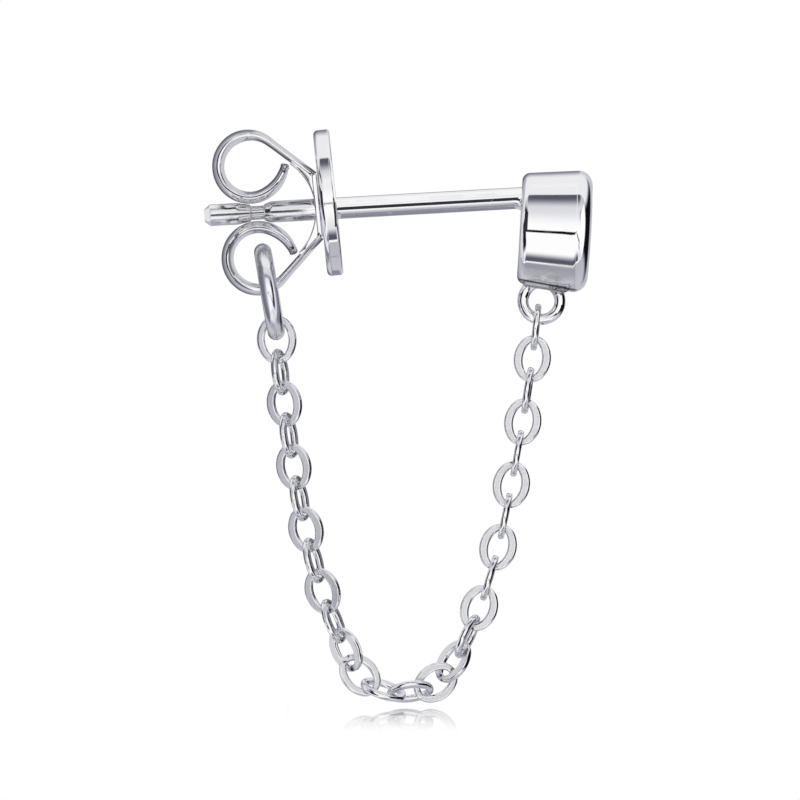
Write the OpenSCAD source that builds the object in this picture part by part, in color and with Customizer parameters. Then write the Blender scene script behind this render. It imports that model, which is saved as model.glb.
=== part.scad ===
// Chain stud earring: a round stud head on an ear post, a butterfly ear nut with a wide disc,
// and a loop of cable chain that hangs from the head's bail to a jump ring on the nut.
// Millimetres, +Z up. The origin is on the post's axis, in the middle of the ear lobe.
// +X runs along the post to the stud head, and -Y is the side that the chain shows.

/* [Ear post] */
// Diameter of the ear post
post_d = 0.77; // [0.74:0.01:0.8]
// Length of the post from the lobe's middle to the stud head
post_head_len = 3.34; // [3.2:0.02:3.5]
// Length of the post from the lobe's middle to its tip
post_tip_len = 7.99; // [7.8:0.01:8.2]
// Rise of the post towards the stud head, in degrees
post_tilt = 3.2; // [3:0.1:3.4]
// Distance from the lobe's middle to the middle of the retaining groove
groove_at = 6.09; // [6.05:0.01:6.13]
// Diameter of the groove's floor
groove_d = 0.5; // [0.46:0.01:0.52]

/* [Stud head] */
// Diameter of the head at its back
head_back_d = 3.94; // [3.8:0.02:4]
// Diameter of the head at its front
head_front_d = 4.44; // [4.3:0.01:4.5]
// Depth of the head from its back to the middle of its front
head_depth = 2.57; // [2.5:0.01:2.65]
// Height of the front face's dome
face_crown = 0.06; // [0.04:0.01:0.12]
// Radius of the head's back edge
head_back_edge = 0.3; // [0.2:0.01:0.35]
// Radius of the head's front rim
head_front_edge = 0.5; // [0.3:0.01:0.55]
// Fall of the head's axis towards its front, in degrees
head_tilt = 3.2; // [3:0.1:4]
// Distance of the post above the head's axis
post_offset = 1.08; // [1:0.01:1.2]

/* [Bail] */
// Diameter of the bail's wire
bail_wire_d = 0.4; // [0.36:0.01:0.42]
// Diameter of the bail's hole
bail_hole_d = 0.92; // [0.9:0.01:0.96]
// Length of the solder pad between the head and the bail
pad_len = 1.7; // [1.5:0.05:1.8]
// Width of the solder pad
pad_w = 1.2; // [1:0.05:1.3]

/* [Ear nut] */
// Diameter of the ear nut's disc
disc_d = 5.23; // [5:0.01:5.4]
// Thickness of the disc
disc_t = 0.585; // [0.5:0.005:0.6]
// Diameter of the post hole in the disc and in the scroll's plate
nut_hole_d = 1.3; // [1.28:0.01:1.4]
// Rise of the nut's axis towards the stud head, in degrees
nut_tilt = 5.8; // [5.7:0.1:5.9]
// Width of the scroll's strip
strip_w = 1.95; // [1.85:0.01:1.98]
// Thickness of the strip in the middle of its width
strip_t = 0.44; // [0.4:0.01:0.45]
// Thickness of the strip in the middle of its straight wings
wing_t = 0.3; // [0.28:0.01:0.34]
// Thickness of the strip at its edges
strip_edge_t = 0.1; // [0.08:0.01:0.14]
// Radius of a scroll at the middle of the strip's thickness
scroll_r = 1.12; // [1.1:0.01:1.13]
// Distance from the disc's middle to the scrolls' middle
scroll_back = 2.665; // [2.65:0.005:2.68]
// Half the distance between the middles of the two scrolls
scroll_out = 1.65; // [1.65:0.01:1.66]

/* [Jump ring] */
// Outer diameter of the jump ring
ring_d = 3.5; // [3.48:0.01:3.52]
// Diameter of the jump ring's wire
ring_wire_d = 0.63; // [0.6:0.01:0.64]
// Lean of the jump ring, its foot towards the stud head, in degrees
ring_lean = 9.5; // [9:0.1:10]

/* [Chain] */
// Outer length of a link
link_len = 1.68; // [1.67:0.01:1.69]
// Outer width of a link
link_w = 1.34; // [1.34:0.01:1.36]
// Width of a link's flat face at its two ends
link_end_band = 0.24; // [0.22:0.01:0.24]
// Width of a link's flat face at its two sides
link_side_band = 0.29; // [0.26:0.01:0.29]
// Thickness of a link, between its flat faces
link_t = 0.22; // [0.2:0.01:0.22]
// Distance between the middles of two links where the chain is taut
link_pitch = 1.14; // [1.138:0.001:1.142]
// Length that the links at the chain's lowest part give up by lying slack
chain_slack = 0.92; // [0.9:0.01:0.94]

/* [Hidden] */
// Sides of a full turn
$fn = 64;
LINKS = 27;
function link_name(i) = str("link_", i < 10 ? "0" : "", i);

// Middle line of the chain, by its places [x, z] from the stud's bail round to the jump ring
ROUTE = [
    [3.93, -3.80], [3.73, -5.55], [3.38, -7.85], [2.98, -10.05], [2.50, -12.30], [1.85, -14.40],
    [0.95, -16.30], [0.30, -17.10], [-0.62, -17.44], [-1.64, -17.36], [-2.42, -16.86], [-2.94, -15.92],
    [-3.78, -13.80], [-4.38, -11.55], [-4.80, -9.35], [-5.12, -7.20], [-5.40, -4.90], [-5.44, -4.20]
];
// Twist of the chain about its own middle line, by rows of [link, degrees]
TWIST = [[1, 2], [3, 4], [5, 1], [9, 2], [10, 6], [11, 16], [12, 44], [15, 157], [17, 228], [18, 248], [26, 250], [27, 265]];
// Middle of the slack stretch, counted in links, and the links that it spans
SLACK_AT = 13.9;
SLACK_SPAN = 8;
// Distance of the first link from the route's first place
ROUTE_LEAD = 0.63;
// Points on the route between two of its places
ROUTE_STEPS = 12;
// The link in the jump ring is larger than the others
END_LINK_LEN = 1.75;
END_LINK_W = 1.43;
// Distance that the larger link hangs beyond its place in the row
END_REACH = 0.03;

// Corner of an outline: b is [x, y, radius], a and c are the corners before and after it
function unit(v) = v / norm(v);
function xy(p) = [p.x, p.y];
function turn_from(a0, a1) = a1 - a0 > 180 ? a1 - a0 - 360 : a1 - a0 < -180 ? a1 - a0 + 360 : a1 - a0;
function corner(a, b, c) =
    b[2] == 0 ? [xy(b)] :
    let (u = unit(xy(a) - xy(b)), v = unit(xy(c) - xy(b)), half = acos(u * v) / 2)
    let (mid = xy(b) + unit(u + v) * b[2] / sin(half), reach = b[2] / tan(half))
    let (from = xy(b) + u * reach - mid, to = xy(b) + v * reach - mid)
    let (a0 = atan2(from.y, from.x), sweep = turn_from(a0, atan2(to.y, to.x)))
    let (steps = ceil(abs(sweep) / (b[2] > 1 ? 5 : 18)))
    [for (i = [0:steps]) mid + b[2] * [cos(a0 + sweep * i / steps), sin(a0 + sweep * i / steps)]];
// Outline with every corner rounded to its own radius
function rounded(c) = [for (i = [0:len(c) - 1]) each corner(c[(i + len(c) - 1) % len(c)], c[i], c[(i + 1) % len(c)])];

// Turned solid whose outline is [distance along the axis, radius], with its axis along +X
module turned(outline) {
    rotate([0, 90, 0])
        rotate_extrude()
            polygon([for (p = outline) [p.y, p.x]]);
}

// Ear post with a rounded tip, a retaining groove with sloping sides, and a solder fillet at its foot
TIP_CHAMFER = 0.2;
GROOVE_HALF = 0.26;
GROOVE_WALL_R = 0.28;
GROOVE_WALL_W = 0.03;
SHOULDER_BACK = 0.72;
SHOULDER_FRONT = 0.48;
FOOT_LEN = 0.22;
FOOT_FLARE = 0.14;
module post() {
    r = post_d / 2;
    floor_half = GROOVE_HALF - GROOVE_WALL_W;
    groove = [
        [-SHOULDER_BACK, r], [-GROOVE_HALF, GROOVE_WALL_R], [-floor_half, groove_d / 2],
        [floor_half, groove_d / 2], [GROOVE_HALF, GROOVE_WALL_R], [SHOULDER_FRONT, r]
    ];
    tip = rounded([
        [-post_tip_len, 0, 0], [-post_tip_len, r - TIP_CHAMFER * 0.8, 0.1],
        [-post_tip_len + TIP_CHAMFER, r, 0.15], [-post_tip_len + 1, r, 0], [-post_tip_len + 1, 0, 0]
    ]);
    foot = [for (i = [0:4]) [post_head_len - FOOT_LEN * (1 - i / 4), r + FOOT_FLARE * (1 - cos(i * 22.5))]];
    rotate([0, -post_tilt, 0])
        turned(concat(
            [for (p = tip) if (p.x < -post_tip_len + 0.99) p],
            [for (p = groove) [p.x - groove_at, p.y]],
            foot,
            [[post_head_len + 0.2, r + FOOT_FLARE], [post_head_len + 0.2, 0]]
        ));
}

// Stud head: a drum that widens to its front, with rounded edges and a domed face
module head() {
    flat_r = head_front_d / 2 - head_front_edge;
    dome_r = (flat_r * flat_r + face_crown * face_crown) / (2 * face_crown);
    front = head_depth - face_crown;
    drum = rounded([
        [0, 0, 0], [0, head_back_d / 2, head_back_edge],
        [front, head_front_d / 2, head_front_edge], [front + 0.01, 0, 0]
    ]);
    dome = [for (y = [flat_r:-flat_r / 6:0.01]) [head_depth - dome_r + sqrt(dome_r * dome_r - y * y), y]];
    turned(concat([for (p = drum) if (p.y > 0 || p.x == 0) p], dome, [[head_depth, 0]]));
}

// Bail: a wire ring in the plane of the chain, on a flat solder pad under the head
BAIL_AT = [4.054, -3.49];
PAD_BACK = 0.18;
PAD_RISE = 0.17;
PAD_DROP = 0.075;
module bail_ring() {
    wire_r = bail_wire_d / 2;
    translate([BAIL_AT.x, 0, BAIL_AT.y])
        rotate([90, 0, 0])
            rotate_extrude()
                translate([bail_hole_d / 2 + wire_r, 0])
                    circle(r = wire_r, $fn = 32);
}
module bail_pad() {
    x = pad_len / 2;
    y = pad_w / 2;
    flare = atan((head_front_d - head_back_d) / 2 / head_depth);
    translate([0, 0, -head_back_d / 2])
        rotate([0, flare, 0])
            translate([PAD_BACK + x, 0, -PAD_DROP])
                linear_extrude(PAD_DROP + PAD_RISE)
                    polygon(rounded([[-x, -y, 0.14], [x, -y, 0.14], [x, y, 0.14], [-x, y, 0.14]]));
}

// The stud: post, head and bail, soldered into one piece
module stud() {
    color("silver") {
        post();
        translate([post_head_len * cos(post_tilt), 0, post_head_len * sin(post_tilt)])
            rotate([0, head_tilt, 0])
                translate([0, 0, -post_offset]) {
                    head();
                    bail_pad();
                }
        bail_ring();
    }
}

// Ear nut frame: x along the nut's axis to the stud head, z across it, zero in the disc's middle
NUT_AT = [-3.56, 0.018];
module on_nut() {
    translate([NUT_AT.x, 0, NUT_AT.y])
        rotate([0, -nut_tilt, 0])
            children();
}
module ear_nut_disc() {
    t = disc_t / 2;
    color("gainsboro")
        on_nut()
            turned(rounded([
                [-t, nut_hole_d / 2, 0.05], [-t, disc_d / 2, 0.11],
                [t, disc_d / 2, 0.11], [t, nut_hole_d / 2, 0.05]
            ]));
}

// Section of the strip, thick in the middle and thin at its edges, by [thickness, width] places
function lens(middle_t) = [
    for (side = [1, -1], w = [1:-0.25:-1])
        side * [(strip_edge_t + (middle_t - strip_edge_t) * (1 - w * w)) / 2, w * strip_w / 2]
];
// Plate of the scroll against the disc, the wings that rise from its ends, and the smooth inside of each bend
PLATE_GAP = 0.02;
PLATE_T = 0.18;
PLATE_HALF = 1.09;
SCROLL_DROP = 0.08;
BEND_R = 2;
BEND_LEN = 1;
BEND_IN = 0.2;
// The strip grows from the wing's thickness to its own over the first stretch of the scroll, where round cuts set
// off the scroll's middle take some of both faces. At the end its tail opens, and such a cut thins its outer side.
SCROLL_SWEEP = 245;
GROW_SWEEP = 60;
TAIL_R = 1.6;
TAIL_SWEEP = 47;
TAIL_CUT = 0.42;
GROW_LAP = 2;
SEAM = 0.003;
module strip_arc(radius, sweep) {
    rotate_extrude(angle = sweep)
        translate([radius, 0])
            polygon(lens(strip_t));
}
module scroll_half() {
    foot = [-disc_t / 2 - PLATE_GAP - PLATE_T / 2, PLATE_HALF];
    mid = [-scroll_back, scroll_out];
    reach = mid - foot;
    away = norm(reach);
    wing_len = sqrt(away * away - scroll_r * scroll_r);
    wing_angle = atan2(reach.y, reach.x) - asin(scroll_r / away);
    translate([mid.x, 0, mid.y])
        rotate([90, 0, 0])
            rotate([0, 0, wing_angle - 90]) {
                translate([scroll_r, 0, 0])
                    rotate([90, 0, 0])
                        linear_extrude(wing_len)
                            polygon(lens(wing_t));
                grow = (strip_t - wing_t) * [cos(GROW_SWEEP), sin(GROW_SWEEP), 0];
                difference() {
                    intersection() {
                        strip_arc(scroll_r, GROW_SWEEP);
                        translate(grow)
                            cylinder(h = strip_w, r = scroll_r + strip_t / 2 - norm(grow) + SEAM, center = true);
                    }
                    translate(-grow)
                        cylinder(h = 2 * strip_w, r = scroll_r - strip_t / 2 + norm(grow) - SEAM, center = true);
                }
                rotate([0, 0, GROW_SWEEP - GROW_LAP])
                    strip_arc(scroll_r, SCROLL_SWEEP - GROW_SWEEP + GROW_LAP);
                rotate([0, 0, SCROLL_SWEEP])
                    translate([scroll_r - TAIL_R, 0, 0])
                        intersection() {
                            strip_arc(TAIL_R, TAIL_SWEEP);
                            translate([TAIL_CUT, 0, 0])
                                cylinder(h = strip_w, r = TAIL_R + strip_t / 2 - TAIL_CUT + SEAM, center = true);
                        }
            }
    along = [cos(wing_angle), sin(wing_angle)];
    inward = [-sin(wing_angle), cos(wing_angle)];
    bend = foot + BEND_IN * inward - along * (PLATE_T / 2 + BEND_IN * inward.x) / along.x;
    on_wing = bend + BEND_LEN * along;
    on_plate = bend - [0, BEND_LEN];
    rotate([90, 0, 0])
        linear_extrude(0.96 * strip_w, center = true)
            polygon(rounded([
                [on_wing.x, on_wing.y, 0], [bend.x, bend.y, BEND_R], [on_plate.x, on_plate.y, 0],
                [foot.x, on_plate.y, 0], [foot.x, foot.y, 0],
                [on_wing.x - BEND_IN * inward.x, on_wing.y - BEND_IN * inward.y, 0]
            ]));
}
module ear_nut_scroll() {
    face = -disc_t / 2 - PLATE_GAP;
    color("silver")
        on_nut()
            difference() {
                translate([0, 0, -SCROLL_DROP]) {
                    scroll_half();
                    mirror([0, 0, 1])
                        scroll_half();
                    translate([face - PLATE_T, -strip_w / 2, -PLATE_HALF])
                        cube([PLATE_T, strip_w, 2 * PLATE_HALF]);
                }
                translate([face, -strip_w, -2 * PLATE_HALF])
                    cube([2 * strip_t, 2 * strip_w, 4 * PLATE_HALF]);
                translate([face - 1, 0, 0])
                    rotate([0, 90, 0])
                        cylinder(h = 2, d = nut_hole_d);
            }
}

// Jump ring: round wire, seen nearly on its edge
RING_AT = [-5.66, -3.165];
module jump_ring() {
    wire_r = ring_wire_d / 2;
    color("gainsboro")
        translate([RING_AT.x, 0, RING_AT.y])
            rotate([0, 90 - ring_lean, 0])
                rotate_extrude()
                    translate([ring_d / 2 - wire_r, 0])
                        circle(r = wire_r, $fn = 32);
}

// Route of the chain: smooth through its places, then measured along its length
function tangent_at(i) =
    i == 0 ? unit(ROUTE[1] - ROUTE[0]) :
    i == len(ROUTE) - 1 ? unit(ROUTE[i] - ROUTE[i - 1]) :
    let (a = ROUTE[i] - ROUTE[i - 1], b = ROUTE[i + 1] - ROUTE[i])
    unit(a / (a * a) + b / (b * b));
function between(i, t) =
    let (span = norm(ROUTE[i + 1] - ROUTE[i]), t2 = t * t, t3 = t * t * t)
    (2 * t3 - 3 * t2 + 1) * ROUTE[i] + (t3 - 2 * t2 + t) * span * tangent_at(i)
    + (3 * t2 - 2 * t3) * ROUTE[i + 1] + (t3 - t2) * span * tangent_at(i + 1);
PATH = [
    for (i = [0:len(ROUTE) - 2], k = [0:ROUTE_STEPS - 1]) between(i, k / ROUTE_STEPS),
    ROUTE[len(ROUTE) - 1]
];
function run_to(i) = [for (k = 0, s = 0; k <= i; s = s + norm(PATH[min(k + 1, i)] - PATH[k]), k = k + 1) s];
RUN = run_to(len(PATH) - 1);
X_AT = [for (i = [0:len(PATH) - 1]) [RUN[i], PATH[i].x]];
Z_AT = [for (i = [0:len(PATH) - 1]) [RUN[i], PATH[i].y]];
function place(s) = [lookup(s, X_AT), lookup(s, Z_AT)];
// Share of the slack that the chain has taken up by link i
function slack_by(i) =
    let (t = min(max((i - SLACK_AT) / SLACK_SPAN + 0.5, 0), 1))
    t * t * (3 - 2 * t);
function run_of(i) = ROUTE_LEAD + (i - 1) * link_pitch - chain_slack * slack_by(i) + (i == LINKS ? END_REACH : 0);

// Solid oval of four arcs, its length along y and its edge a profile of [distance beyond the oval, height].
// The middles of an end arc and a side arc lie apart on the long side of a 3-4-5 triangle. An end's sector
// runs on into the sides' sectors by the lap, and those reach past the middle to each other.
JOIN = atan(0.75);
LAP = 10;
module oval(length, width, edge) {
    apart = (length - width) / 0.8;
    end_r = length / 2 - 0.6 * apart;
    side_r = end_r + apart;
    last = edge[len(edge) - 1];
    module sector(inner_r, r, half_sweep) {
        rotate_extrude(start = -half_sweep, angle = 2 * half_sweep)
            polygon(concat([[inner_r, edge[0].y]], [for (p = edge) [r + p.x, p.y]], [[inner_r, last.y]]));
    }
    for (end = [90, 270])
        rotate([0, 0, end])
            translate([0.6 * apart, 0, 0])
                sector(0, end_r, 90 - JOIN + LAP);
    for (side = [0, 180])
        rotate([0, 0, side])
            translate([-0.8 * apart, 0, 0])
                sector(0.7 * apart, side_r, JOIN);
}

// One flattened link: its length along z, its flat faces towards +Y and -Y, its edges chamfered
LINK_CHAMFER = 0.07;
module link(length, width) {
    v = link_t / 2;
    c = LINK_CHAMFER;
    past = 0.1;
    rotate([90, 0, 0])
        difference() {
            oval(length, width, [[-c, -v], [0, c - v], [0, v - c], [-c, v]]);
            oval(length - 2 * link_end_band, width - 2 * link_side_band, [
                [c, -v - past], [c, -v], [0, c - v], [0, v - c], [c, v], [c, v + past]
            ]);
        }
}
module chain_link(i) {
    s = run_of(i);
    at = place(s);
    dir = place(s + link_pitch / 2) - place(s - link_pitch / 2);
    roll = lookup(i, TWIST) + (i % 2 == 1 ? 90 : 0);
    color(i % 2 == 1 ? "darkgray" : "gainsboro")
        translate([at.x, 0, at.y])
            rotate([0, atan2(dir.x, dir.y), 0])
                rotate([0, 0, roll])
                    link(i == LINKS ? END_LINK_LEN : link_len, i == LINKS ? END_LINK_W : link_w);
}

stud();
ear_nut_disc();
ear_nut_scroll();
jump_ring();
for (i = [1:LINKS]) chain_link(i);
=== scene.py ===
"""Chain stud earring in rhodium-plated silver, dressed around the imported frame.

Every surface is worked out with numpy in millimetres, as a grid of two parameters or a profile carried
along a path, and goes into its mesh in metres. The pieces: the stud (post, head, pad and bail in one),
the ear nut's disc, its scroll, the jump ring and 27 chain links.
"""
import math

import bpy
import numpy as np
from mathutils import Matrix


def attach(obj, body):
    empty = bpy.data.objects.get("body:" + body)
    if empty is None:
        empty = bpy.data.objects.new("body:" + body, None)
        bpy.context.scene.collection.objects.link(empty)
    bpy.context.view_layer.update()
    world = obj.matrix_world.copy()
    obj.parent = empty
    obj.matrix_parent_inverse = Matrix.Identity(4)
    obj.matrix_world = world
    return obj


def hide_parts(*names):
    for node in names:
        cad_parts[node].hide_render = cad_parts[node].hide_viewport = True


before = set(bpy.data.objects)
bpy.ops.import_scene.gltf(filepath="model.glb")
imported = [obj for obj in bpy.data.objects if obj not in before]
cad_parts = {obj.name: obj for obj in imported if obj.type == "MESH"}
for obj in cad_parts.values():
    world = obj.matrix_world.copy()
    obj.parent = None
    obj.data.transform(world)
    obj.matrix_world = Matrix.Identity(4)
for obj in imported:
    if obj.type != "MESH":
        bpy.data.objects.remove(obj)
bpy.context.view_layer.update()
scene = bpy.context.scene

MM = 0.001

# Ear post, with x along its axis: a chamfered tip, the retaining groove between soft shoulders, and a foot
# that solder flares on its under side
POST_D = 0.77
POST_HEAD_LEN = 3.34
POST_TIP_LEN = 7.99
POST_TILT = 3.2
TIP_LEN = 1.0
TIP_CHAMFER = 0.2
TIP_FACE_D = 0.45
TIP_EDGE_R = 0.07
GROOVE_AT = 6.09
GROOVE_D = 0.5
GROOVE_HALF = 0.26
GROOVE_WALL = 0.04
GROOVE_FOOT_R = 0.03
GROOVE_LIP_D = 0.6
GROOVE_LIP_R = 0.04
SHOULDER_BACK = 0.72
SHOULDER_FRONT = 0.48
SHOULDER_R = 0.4
FOOT_LEN = 0.24
FOOT_IN_HEAD = 0.25
FOOT_FLARE = 0.15
FLARE_POWER = 0.7
FOOT_STEPS = 14

# Stud head
HEAD_BACK_D = 3.94
HEAD_FRONT_D = 4.44
HEAD_DEPTH = 2.57
FACE_CROWN = 0.06
HEAD_BACK_EDGE = 0.3
HEAD_FRONT_EDGE = 0.5
HEAD_TILT = 3.2
POST_OFFSET = 1.08

# Bail and its solder pad
BAIL_AT = (4.054, -3.49)
BAIL_WIRE_D = 0.4
BAIL_HOLE_D = 0.92
PAD_LEN = 1.7
PAD_W = 1.2
PAD_BACK = 0.18
PAD_RISE = 0.17
PAD_DROP = 0.075
PAD_EDGE_R = 0.14

# Ear nut's disc
NUT_AT = (-3.56, 0.018)
NUT_TILT = 5.8
NUT_HOLE_D = 1.3
NUT_HOLE_EDGE = 0.05
DISC_D = 5.23
DISC_T = 0.585
DISC_BACK_EDGE = 0.17
DISC_FRONT_EDGE = 0.12

# Ear nut's scroll: one strip, on either side along a wing, round a scroll and along a wider tail
STRIP_W = 1.95
STRIP_T = 0.44
WING_T = 0.3
GROW_AHEAD = 0.5
GROW_LEN = 1.9
SCROLL_R = 1.12
SCROLL_BACK = 2.665
SCROLL_OUT = 1.65
SCROLL_DROP = 0.08
SCROLL_SWEEP = 245.0
TAIL_R = 1.6
TAIL_SWEEP = 47.0
TAIL_CUT_OUT = 0.42
TAIL_CUT_IN = 0.042
WING_STEPS = 40
SCROLL_STEPS = 130
TAIL_STEPS = 40

# The strip's section: a soft round edge, a tighter turn to the face, and the crowned face. The outer face
# rises higher than the inner one by the ridge, and below the full half thickness the edges shrink with it.
OUTER_EDGE_R = 0.13
INNER_EDGE_R = 0.11
RIDGE = 0.03
TURN_R = 0.03
EDGE_TO = 38.0
TURN_TO = 74.0
FULL_HALF_T = 0.21

# The strip's torn tip: the rows that close it, as their share of the section and how far ahead, and how far
# the last rows' places are torn at most
TIP_ROWS = ((0.9, 0.03), (0.6, 0.05), (0.25, 0.05))
TORN = (0.004, 0.008, 0.012, 0.016, 0.022, 0.024, 0.03, 0.03)
TEAR_SEED = 7

# The strip's flat plate against the disc, and the webs that smooth its bends
PLATE_GAP = 0.02
PLATE_T = 0.18
PLATE_W = 1.911
PLATE_HALF = 1.09
PLATE_OVER = 0.03
PLATE_EDGE_R = 0.045
PLATE_STEPS = 8
WEB_W = 1.78
WEB_BACK = 0.02
WEB_CORNER_R = 0.12
WEB_EDGE_R = 0.05
WEB_STEPS = 60
BEND_R = 2.0
BEND_LEN = 1.0
BEND_IN = 0.2
DRILL_BACK = 1.0
DRILL_FRONT = 0.6

# Jump ring
RING_D = 3.5
RING_WIRE_D = 0.63
RING_LEAN = 9.5
RING_AT = (-5.66, -3.165)

# Chain links: flat faces between rounded corners. Each face has its first place just past the corner.
LINKS = 27
LINK_T = 0.22
LINK_END_BAND = 0.24
LINK_SIDE_BAND = 0.29
STRAND_SIDE_BAND = 0.325
TURNED_LINKS = (13, 14, 15, 16, 27)
LINK_CORNER = 0.07
FACE_START = 1.1
CORNER_PLACES = 9
LINK_STEPS = 112

# Meshes: how far past an arc a straight side has a place, as a share of the radius and at most, and from how
# many degrees an edge shades sharp
PAST_ARC = 0.15
PAST_ARC_MOST = 0.03
SHARP = 28

# How many steps an arc has, and how many sides the turned solids, and a ring and its wire
ARC_STEPS = 10
HEAD_ARC_STEPS = 24
PAD_ARC_STEPS = 12
DISC_ARC_STEPS = 12
BEND_ARC_STEPS = 24
WEB_ARC_STEPS = 8
POST_SIDES = 128
HEAD_SIDES = 256
DISC_SIDES = 256
HOLE_SIDES = 96
BAIL_SIDES = (160, 48)
RING_SIDES = (224, 72)

# How many places the dome, the pad's rim, a plate's corner, and the strip's edge, turn and half face have
DOME_PLACES = 24
PAD_RIM_PLACES = 9
PLATE_CORNER_PLACES = 7
EDGE_PLACES = 8
TURN_PLACES = 4
FACE_PLACES = 9


def display(value):
    """Linear light of a grey given as it shows on the screen, from 0 to 1: the sRGB curve."""
    return value / 12.92 if value <= 0.04045 else ((value + 0.055) / 1.055) ** 2.4


def turn_y(points, degrees):
    """Points turned about Y, from +Z towards +X."""
    a = math.radians(degrees)
    x, y, z = points[..., 0], points[..., 1], points[..., 2]
    return np.stack([x * math.cos(a) + z * math.sin(a), y, z * math.cos(a) - x * math.sin(a)], axis=-1)


def moved(points, x=0.0, y=0.0, z=0.0):
    """Points shifted by a distance along each axis."""
    return points + np.array([x, y, z])


def skin(points, wrap_rows=False):
    """A shell from a grid of points, each row a closed loop: its vertices, its quads and the uv of each
    quad's corners, which runs from 0 to 1 over the rows and along them. The last row can join the first."""
    rows, columns = points.shape[:2]
    spans = rows if wrap_rows else rows - 1
    r, c = np.meshgrid(np.arange(spans), np.arange(columns), indexing="ij")
    quads, uvs = [], []
    for a, b in ((0, 0), (0, 1), (1, 1), (1, 0)):
        quads.append(((r + a) % rows * columns + (c + b) % columns).ravel())
        uvs.append(np.stack([(r + a) / spans, (c + b) / columns], axis=-1).reshape(-1, 2))
    return points.reshape(-1, 3), np.stack(quads, axis=1), np.stack(uvs, axis=1)


def outward(vertices, quads):
    """True where the closed shell's faces point outwards: its signed pyramid volumes add up to above 0."""
    a, b, c, d = (vertices[quads[:, i]] for i in range(4))
    return (np.cross(b - a, c - a) * a).sum() + (np.cross(c - a, d - a) * a).sum() > 0


def make_mesh(name, shell):
    """Mesh of a closed shell. Corners that coincide are welded, so seams and poles close, and a quad with
    two corners in one place becomes a triangle."""
    vertices, quads, uvs = shell
    if not outward(vertices, quads):
        quads = quads[:, ::-1]
        uvs = uvs[:, ::-1]
    _, first, weld = np.unique(np.round(vertices, 6), axis=0, return_index=True, return_inverse=True)
    quads = weld.reshape(-1)[quads]
    keep = quads != np.roll(quads, 1, axis=1)
    sizes = keep.sum(axis=1)
    solid = sizes >= 3
    keep, quads, uvs, sizes = keep[solid], quads[solid], uvs[solid], sizes[solid]
    corners = quads[keep]
    starts = np.concatenate([[0], np.cumsum(sizes)[:-1]])
    mesh = bpy.data.meshes.new(name)
    mesh.vertices.add(len(first))
    mesh.vertices.foreach_set("co", (vertices[first] * MM).astype(np.float32).ravel())
    mesh.loops.add(len(corners))
    mesh.loops.foreach_set("vertex_index", corners.astype(np.int32))
    mesh.polygons.add(len(sizes))
    mesh.polygons.foreach_set("loop_start", starts.astype(np.int32))
    mesh.polygons.foreach_set("use_smooth", np.ones(len(sizes), bool))
    layer = mesh.uv_layers.new(name="along")
    layer.data.foreach_set("uv", uvs[keep].astype(np.float32).ravel())
    mesh.update(calc_edges=True)
    mesh.validate()
    return mesh


def add_object(name, data):
    """New object in the scene, at the origin."""
    obj = bpy.data.objects.new(name, data)
    scene.collection.objects.link(obj)
    return obj


def make_object(name, shell):
    """Object that shows a shell."""
    return add_object(name, make_mesh(name, shell))


def combine(obj, others, operation):
    """The object united with the others, or cut by them, as one closed solid."""
    for other in others:
        modifier = obj.modifiers.new("combine", "BOOLEAN")
        modifier.operation = operation
        modifier.solver = "MANIFOLD"
        modifier.object = other
    graph = bpy.context.evaluated_depsgraph_get()
    mesh = bpy.data.meshes.new_from_object(obj.evaluated_get(graph))
    obj.modifiers.clear()
    obj.data = mesh
    for other in others:
        bpy.data.objects.remove(other)
    obj.data.shade_smooth()
    obj.data.set_sharp_from_angle(angle=math.radians(SHARP))


def rounded(corners, steps=ARC_STEPS):
    """Closed outline whose corners [x, y, radius] are rounded: each arc touches both sides of its corner.
    Straight sides get a place just past each arc, so that they shade flat."""
    corners = [np.array(c, float) for c in corners]
    out = []
    for i, b in enumerate(corners):
        before, after = corners[i - 1][:2] - b[:2], corners[(i + 1) % len(corners)][:2] - b[:2]
        u, v = before / np.linalg.norm(before), after / np.linalg.norm(after)
        if b[2] == 0:
            out.append(b[None, :2])
            continue
        half = math.acos(np.clip(u @ v, -1, 1)) / 2
        reach = b[2] / math.tan(half)
        middle = b[:2] + (u + v) / np.linalg.norm(u + v) * b[2] / math.sin(half)
        start, end = b[:2] + u * reach - middle, b[:2] + v * reach - middle
        sweep = math.atan2(start[0] * end[1] - start[1] * end[0], start @ end)
        turn = sweep * np.arange(steps + 1)[:, None] / steps
        arc = middle + start * np.cos(turn) + np.array([-start[1], start[0]]) * np.sin(turn)
        past = min(PAST_ARC * b[2], PAST_ARC_MOST)
        out.append(np.concatenate([[arc[0] + u * past], arc, [arc[-1] + v * past]]))
    return np.concatenate(out)


def turned(outline, sides):
    """Solid of revolution about X: each place [x, radius] of the outline goes round in a circle."""
    angle = np.linspace(0, 2 * math.pi, sides, endpoint=False)
    x = np.repeat(outline[:, :1], sides, axis=1)
    return np.stack([x, outline[:, 1:] * np.cos(angle), outline[:, 1:] * np.sin(angle)], axis=-1)


def ring(big_r, wire_r, around, across):
    """Torus about Z: a circle of radius wire_r carried round a circle of radius big_r."""
    a = np.linspace(0, 2 * math.pi, around, endpoint=False)[:, None]
    b = np.linspace(0, 2 * math.pi, across, endpoint=False)[None, :]
    r = big_r + wire_r * np.cos(b)
    return np.stack([r * np.cos(a), r * np.sin(a), wire_r * np.sin(b) + 0 * a], axis=-1)


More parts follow.
